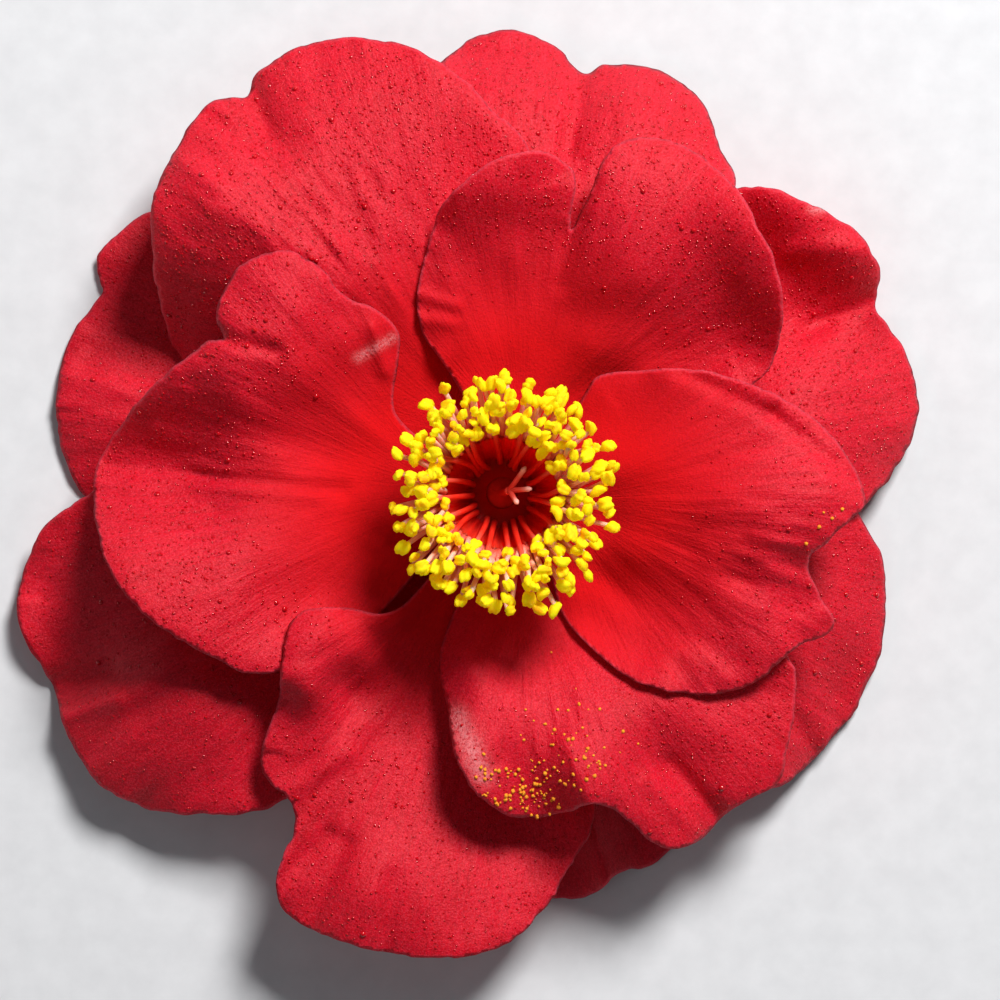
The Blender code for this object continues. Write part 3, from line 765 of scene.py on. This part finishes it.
def filament_material(name, scatter, depth):
    """Red at the foot and salmon at the head, with some light scattered inside, so many mm deep."""
    m = Material(name)
    share = m.value("share")
    soft = m.noise(m.place(), 0.8, 2.0)
    colour = m.ramp(
        share,
        (0.0, (0.66, 0.002, 0.003)),
        (0.42, (0.92, 0.03, 0.012)),
        (0.6, (0.96, 0.20, 0.13)),
        (0.85, (1.0, 0.48, 0.35)),
        (1.0, (1.0, 0.56, 0.42)),
    )
    mottled = m.mix(0.25, colour, m.ramp(soft, (0.3, 0.6), (0.7, 1.0)), "MULTIPLY")
    m.put(m.shader, "Subsurface Radius", (1.0, 0.1, 0.05))
    return m.finish(
        Base_Color=mottled,
        Roughness=0.5,
        Normal=m.bump(soft, 0.05),
        Subsurface_Weight=scatter,
        Subsurface_Scale=depth * MM,
        Specular_IOR_Level=0.3,
    )


def anther_material():
    """Yellow, with a painted glow from emission that stands in for light passing through the pollen
    sacs.
    """
    m = Material("anther")
    place = m.place()
    grain = m.noise(place, 3.2, 3.0, 0.7)
    patches = m.noise(place, 0.45, 2.0)
    golden, yellow, lemon = (1.0, 0.44, 0.0006), (1.0, 0.62, 0.0008), (1.0, 0.76, 0.001)
    colour = m.ramp(patches, (0.3, golden), (0.42, yellow), (0.58, lemon))
    dusty = m.mix(0.2, colour, m.ramp(grain, (0.3, 0.6), (0.6, 1.0)), "MULTIPLY")
    m.put(m.shader, "Subsurface Radius", (1.0, 0.75, 0.08))
    return m.finish(
        Base_Color=dusty,
        Roughness=0.75,
        Normal=m.bump(grain, 0.1, 0.8),
        Subsurface_Weight=1.0,
        Subsurface_Scale=0.9 * MM,
        Specular_IOR_Level=0.25,
        # The emission is a painted glow of light passing through and between the anthers
        Emission_Color=dusty,
        Emission_Strength=0.16,
    )


def pollen_material():
    m = Material("pollen")
    grain = m.noise(m.place(), 3.0, 2.0)
    colour = m.ramp(grain, (0.3, (0.78, 0.22, 0.004)), (0.7, (1.0, 0.42, 0.012)))
    return m.finish(Base_Color=colour, Roughness=0.8, Normal=m.bump(grain, 0.1))


def dew_material():
    """Drops so small that they show the red under them, darker, with the light's own glint."""
    m = Material("dew")
    cloud = m.noise(m.place(), 0.6, 1.0)
    colour = m.ramp(cloud, (0.3, (0.50, 0.0004, 0.004)), (0.7, (0.60, 0.001, 0.008)))
    return m.finish(
        Base_Color=colour,
        Roughness=0.12,
        Specular_IOR_Level=0.5,
        Coat_Weight=0.3,
        Coat_Roughness=0.05,
    )


def pistil_material():
    """Red at the ovary and pale at the ends of the style's arms."""
    m = Material("pistil")
    share = m.value("share")
    soft = m.noise(m.place(), 0.8, 2.0)
    colour = m.ramp(
        share,
        (0.0, (0.62, 0.03, 0.02)),
        (0.35, (0.7, 0.03, 0.02)),
        (0.8, (0.88, 0.10, 0.07)),
        (0.95, (1.0, 0.45, 0.38)),
    )
    mottled = m.mix(0.25, colour, m.ramp(soft, (0.3, 0.7), (0.7, 1.0)), "MULTIPLY")
    return m.finish(Base_Color=mottled, Roughness=0.35, Normal=m.bump(soft, 0.05))


def floor_material():
    m = Material("floor_paper")
    weave = m.noise(m.place(), 0.25, 4.0)
    colour = m.ramp(weave, (0.3, (0.70, 0.70, 0.71)), (0.7, (0.76, 0.76, 0.77)))
    return m.finish(Base_Color=colour, Roughness=0.8)


# ---------------------------------------------------------------- stamens and pistil


def tube_along(path, radii, sides):
    """Points and faces of a closed round tube along a path, in mm, with one radius at each point."""
    path = np.asarray(path, float)
    along = np.gradient(path, axis=0)
    along /= np.linalg.norm(along, axis=1)[:, None]
    side = np.cross(along, [0.31, 0.83, 0.11])
    side /= np.linalg.norm(side, axis=1)[:, None]
    front = np.cross(along, side)
    turns = np.linspace(0, 2 * np.pi, sides, endpoint=False)
    cos, sin = np.cos(turns)[None, :, None], np.sin(turns)[None, :, None]
    ring = cos * side[:, None, :] + sin * front[:, None, :]
    points = (path[:, None, :] + ring * np.asarray(radii)[:, None, None]).reshape(-1, 3)
    faces = []
    for k in range(len(path) - 1):
        for i in range(sides):
            j = (i + 1) % sides
            faces.append((k * sides + i, k * sides + j, (k + 1) * sides + j, (k + 1) * sides + i))
    faces.append(tuple(reversed(range(sides))))
    faces.append(tuple((len(path) - 1) * sides + i for i in range(sides)))
    return points, faces


def ball(rows, sides):
    """Points on a unit sphere, from pole to pole along Z, and its faces."""
    points, faces = [(0, 0, -1.0)], []
    for k in range(1, rows):
        tilt = math.pi * k / rows
        for i in range(sides):
            turn = 2 * math.pi * i / sides
            out = math.sin(tilt)
            points.append((out * math.cos(turn), out * math.sin(turn), -math.cos(tilt)))
    points.append((0, 0, 1.0))
    last = len(points) - 1
    for i in range(sides):
        j = (i + 1) % sides
        faces.append((0, 1 + j, 1 + i))
        faces.append((last, last - sides + i, last - sides + j))
        for k in range(rows - 2):
            a, b = 1 + k * sides, 1 + (k + 1) * sides
            faces.append((a + i, a + j, b + j, b + i))
    return np.array(points), faces


def turned_to(direction, spin):
    """The rotation that stands Z along a direction, after a spin round it."""
    aim = Vector(direction).normalized().to_track_quat("Z", "Y").to_matrix()
    return np.array(aim @ Matrix.Rotation(spin, 3, "Z"))


BALL_POINTS, BALL_FACES = ball(9, 16)


def anther(centre, direction, size):
    """Two pollen sacs side by side with a crease between them, bent a little along their length."""
    p = BALL_POINTS.copy()
    crease = hump(BALL_POINTS[:, 0], 0.33)
    p[:, 0] *= ANTHER_WIDE / 2
    p[:, 1] *= (1 - 0.42 * crease) * ANTHER_WIDE * ANTHER_DEEP
    p[:, 2] *= ANTHER_LONG / 2 * (1 - 0.22 * crease)
    p[:, 1] += 0.25 * p[:, 2] ** 2 * RNG.uniform(0.2, 1.4)
    p[:, 0] += RNG.normal(0, 0.12) * p[:, 2]
    p += 0.045 * RNG.standard_normal(p.shape)
    return (p * size) @ turned_to(direction, RNG.uniform(0, 2 * math.pi)).T + centre


def filament_path(foot, head, sway):
    """A filament's centre line: up from its foot, then leaning out to its head."""
    t = np.linspace(0, 1, FILAMENT_ROWS)[:, None]
    foot, head = np.asarray(foot, float), np.asarray(head, float)
    path = foot + (head - foot) * np.hstack([t**FILAMENT_LEAN, t**FILAMENT_LEAN, t])
    return path + np.sin(np.pi * t) * np.asarray(sway)


def add_stamen(parts, foot, head, from_share, to_share):
    """A filament and its anther, with the filament's colour running from red to pale."""
    sway = np.array([*RNG.normal(0, FILAMENT_SWAY, 2), 0])
    path = filament_path(foot, head, sway)
    t = np.linspace(0, 1, FILAMENT_ROWS)
    radii = FILAMENT_R * (1.15 - 0.35 * t)
    points, faces = tube_along(path, radii, FILAMENT_SIDES)
    shade = np.repeat(from_share + (to_share - from_share) * t, FILAMENT_SIDES)
    parts.add(points, faces, shade)
    lean = path[-1] - path[-2]
    lean /= np.linalg.norm(lean)
    direction = lean + RNG.normal(0, 0.75, 3)
    size = RNG.uniform(0.72, 1.15)
    direction /= np.linalg.norm(direction)
    parts.add(anther(path[-1] + direction * 0.35, direction, size), BALL_FACES, 1.0, slot=1)


def build_stamens(looks):
    low, high = (Vector(c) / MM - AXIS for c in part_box("stamen_tube"))
    parts = Parts()
    parting = low.z + (high.z - low.z) * FREE_FROM
    add_tube(parts, low.z, parting)
    clumps = Noise(41)
    for number, radius, lower in WHORLS:
        start = RNG.uniform(0, 360)
        for k in range(number):
            degrees = start + 360 * (k + RNG.uniform(-0.45, 0.45)) / number
            drift = clumps.at(np.array([degrees / 24]), np.array([radius / 4]))[0]
            reach = radius + 0.9 * drift + RNG.normal(0, 0.4)
            top = high.z - ANTHER_UNDER_TOP - lower + RNG.normal(0, 0.5)
            foot = (*polar(degrees + RNG.uniform(-6, 6), sum(TUBE_HEAD) / 2), parting - 0.6)
            head = (*(polar(degrees + 5 * drift, reach) * RING_STRETCH), top)
            add_stamen(parts, foot, head, TUBE_SHARE, 1.0)
    piece = parts.build("stamen_tube_fine", looks)
    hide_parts("stamen_tube")
    for name in sorted(n for n in NODES if n.startswith("inner_stamen")):
        points = np.array([v.co for v in NODES[name].data.vertices]) / MM - np.array(AXIS)
        foot = points[points[:, 2] < points[:, 2].min() + 0.05].mean(axis=0)
        head = points[points[:, 2] > points[:, 2].max() - 0.3].mean(axis=0)
        head[2] -= ANTHER_LONG * 0.7
        parts = Parts()
        add_stamen(parts, foot, head * [1.06, 1.06, 1] + [*RNG.normal(0, 0.35, 2), 0], 0.1, 0.55)
        piece = parts.build(f"{name}_fine", looks[:2])
        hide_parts(name)


def add_tube(parts, low, high):
    """The funnel that the filaments are fused into, ribbed where each one runs, with its floor."""
    sides = 6 * TUBE_RIBS
    turns = np.linspace(0, 2 * np.pi, sides, endpoint=False)
    ribs = np.cos(turns * TUBE_RIBS)
    flat = np.zeros(sides)
    rings = []
    for side, rib in ((1, TUBE_RIB_HIGH), (0, -TUBE_RIB_HIGH)):
        for k in range(TUBE_WALL_ROWS + 1):
            share = k / TUBE_WALL_ROWS if side else 1 - k / TUBE_WALL_ROWS
            radius = TUBE_FOOT[side] + (TUBE_HEAD[side] - TUBE_FOOT[side]) * share**0.8
            z = low + (high - low) * share + 0.5 * ribs * (share == 1)
            rings.append((radius + rib * ribs, z, share))
    for radius, below in UNDER_TUBE:
        rings.append((flat + radius, flat + low - below, 0.0))
    faces = []
    for k in range(len(rings)):
        after = (k + 1) % len(rings)
        for i in range(sides):
            j = (i + 1) % sides
            faces.append((k * sides + i, k * sides + j, after * sides + j, after * sides + i))
    cos, sin = np.cos(turns), np.sin(turns)
    points = np.concatenate([np.column_stack([radius * cos, radius * sin, z]) for radius, z, _ in rings])
    shade = np.repeat([TUBE_SHARE * share for *_, share in rings], sides)
    parts.add(points, faces, shade, slot=2)


def build_pistil(look):
    """Ovary, style and its three spreading arms."""
    low, high = (Vector(c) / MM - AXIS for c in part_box("pistil"))
    tall = high.z - low.z
    parts = Parts()
    t = np.linspace(0, 1, 14)
    radii = 0.5 + 1.9 * hump(t - 0.16, 0.17)
    path = np.column_stack([0.9 * t**2, 0.3 * t**2, low.z + tall * 0.72 * t])
    points, faces = tube_along(path, radii, OVARY_SIDES)
    parts.add(points, faces, np.repeat(0.5 * t, OVARY_SIDES))
    split = path[-1] - [0, 0, 0.3]
    for tip in ARM_TIPS:
        t = np.linspace(0, 1, 9)[:, None]
        head = np.array([*tip, high.z - 0.4])
        arm = split + (head - split) * np.hstack([t, t, t**0.8])
        radii = 0.38 - 0.1 * t[:, 0]
        radii[-2:] = (0.36, 0.16)
        points, faces = tube_along(arm, radii, ARM_SIDES)
        parts.add(points, faces, np.repeat(0.5 + 0.5 * t[:, 0], ARM_SIDES))
    piece = parts.build("pistil_fine", look)
    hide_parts("pistil")


# ---------------------------------------------------------------- dew and pollen


def surface_point(sheet, point):
    """The place and the upward normal of a sheet's face over a plan point."""
    steps = SLOPE_STEP * np.array([(0, 0), (1, 0), (-1, 0), (0, 1), (0, -1)])
    around = point + steps
    z = sheet.map.read(around)
    slopes = (z[1] - z[2]) / (2 * SLOPE_STEP), (z[3] - z[4]) / (2 * SLOPE_STEP)
    normal = Vector((-slopes[0], -slopes[1], 1)).normalized()
    return np.array([*point, z[0] + sheet.wrinkles(around[:1])[0]]), normal


def scatter_dew(sheets, ground, look):
    """Small flattened drops over the outer parts of the petals that lie open to the air."""
    parts = Parts()
    cap, cap_faces = ball(3, 7)
    wet = Noise(3)
    for sheet in sheets:
        low, high = sheet.loop.min(axis=0), sheet.loop.max(axis=0)
        number = int(np.prod(high - low) * DEW_PER_MM2 * DEW.get(sheet.node, 0))
        points = RNG.uniform(low, high, (number, 2))
        points = points[inside(points, sheet.loop)]
        points = points[from_margin(points, sheet.loop)[0] > DEW_OFF_MARGIN]
        open_air = ground.read(points) - sheet.map.read(points) < 0.1
        reach = np.linalg.norm(points, axis=1)
        patchy = wet.at(*(points.T / DEW_PATCH)) * 0.4 + (reach - DEW_INNER_R) / DEW_FADE
        points = points[open_air & (patchy > RNG.uniform(0, 1, len(points)))]
        for point in points:
            radius = DROP_R + DROP_R_MORE * RNG.random() ** 2
            radius += BIG_DROP_MORE * (RNG.random() < BIG_DROPS)
            place, normal = surface_point(sheet, point)
            drop = (cap * radius * [1, 1, DROP_FLAT]) @ turned_to(normal, 0).T
            parts.add(drop + place + np.array(normal) * radius * DROP_RISE, cap_faces, 0.0)
    parts.build("dew_drops", look)


def scatter_pollen(sheets, look):
    """Grains shaken from the anthers on to the petals below them."""
    parts = Parts()
    grain, grain_faces = ball(4, 6)
    named = {sheet.node: sheet for sheet in sheets}
    for node, degrees, reach, spread, number in POLLEN_PATCHES:
        sheet = named[node]
        points = polar(degrees, reach) + RNG.normal(0, spread, (number, 2))
        points = points[inside(points, sheet.loop)]
        for point in points:
            radius = RNG.uniform(0.1, 0.3)
            place, normal = surface_point(sheet, point)
            lump = grain * radius * RNG.uniform(0.7, 1.3, (len(grain), 1))
            parts.add(lump @ turned_to(normal, 0).T + place, grain_faces, 0.0)
    parts.build("pollen_grains", look)


# ---------------------------------------------------------------- the flower


def build_flower():
    ground = HeightMap()
    scale_look, petal_look = sepal_material(), petal_material()
    for group in ("bract", "sepal"):
        for node in sorted(n for n in NODES if n.startswith(group)):
            scale = Sheet(node, SEPAL_STEP, SEPAL_THICK, 500 + len(node) + int(node[-1]))
            scale.lay_on(ground)
            scale.build(scale_look)
    sheets = []
    for number, node in enumerate(PETALS_BACK_TO_FRONT):
        sheet = Sheet(node, PETAL_STEP, PETAL_THICK, 20 + number)
        sheet.lay_on(ground)
        sheet.build(petal_look)
        sheets.append(sheet)
    thread_look = filament_material("filament", 0.5, 0.3)
    tube_look = filament_material("stamen_tube", 1.0, 4.0)
    build_stamens((thread_look, anther_material(), tube_look))
    build_pistil(pistil_material())
    scatter_dew(sheets, ground, dew_material())
    scatter_pollen(sheets, pollen_material())
    NODES["stalk"].data.materials.clear()
    NODES["stalk"].data.materials.append(stalk_material())


def area_light(name, degrees, above, distance, size, power, colour=(1, 1, 1)):
    """A square light that looks at the flower from round it and above it."""
    light = bpy.data.lights.new(name, "AREA")
    light.size = size
    light.energy = power
    light.color = colour
    obj = bpy.data.objects.new(name, light)
    bpy.context.scene.collection.objects.link(obj)
    flat = math.cos(math.radians(above)) * distance
    x, y = polar(degrees, flat)
    obj.location = Vector((x, y, math.sin(math.radians(above)) * distance))
    obj.rotation_euler = (-obj.location).to_track_quat("-Z", "Y").to_euler()
    return obj


def build_studio():
    bpy.ops.mesh.primitive_plane_add(size=FLOOR_SIZE)
    floor = bpy.context.object
    floor.name = "floor"
    floor.location.z = -FLOOR_DROP
    floor.data.materials.append(floor_material())
    area_light("key", *KEY_FROM, distance=0.9, size=0.26, power=11.1)
    fill = area_light("fill", *FILL_FROM, distance=1.1, size=0.8, power=0.8, colour=(0.95, 0.97, 1.0))
    fill.visible_glossy = False
    world = bpy.data.worlds.new("studio")
    world.use_nodes = True
    sky = world.node_tree.nodes["Background"]
    sky.inputs["Color"].default_value = SKY
    sky.inputs["Strength"].default_value = SKY_STRENGTH
    scene = bpy.context.scene
    scene.world = world
    scene.view_settings.view_transform = "Standard"
    camera = bpy.data.objects.new("camera", bpy.data.cameras.new("camera"))
    scene.collection.objects.link(camera)
    camera.location = (AXIS + CAMERA_AT) * MM
    camera.data.sensor_width = SENSOR
    camera.data.lens = SENSOR * (CAMERA_AT.z - PETAL_LEVEL) / CAMERA_SEES
    camera.data.clip_start = 0.01
    scene.camera = camera


build_flower()
build_studio()
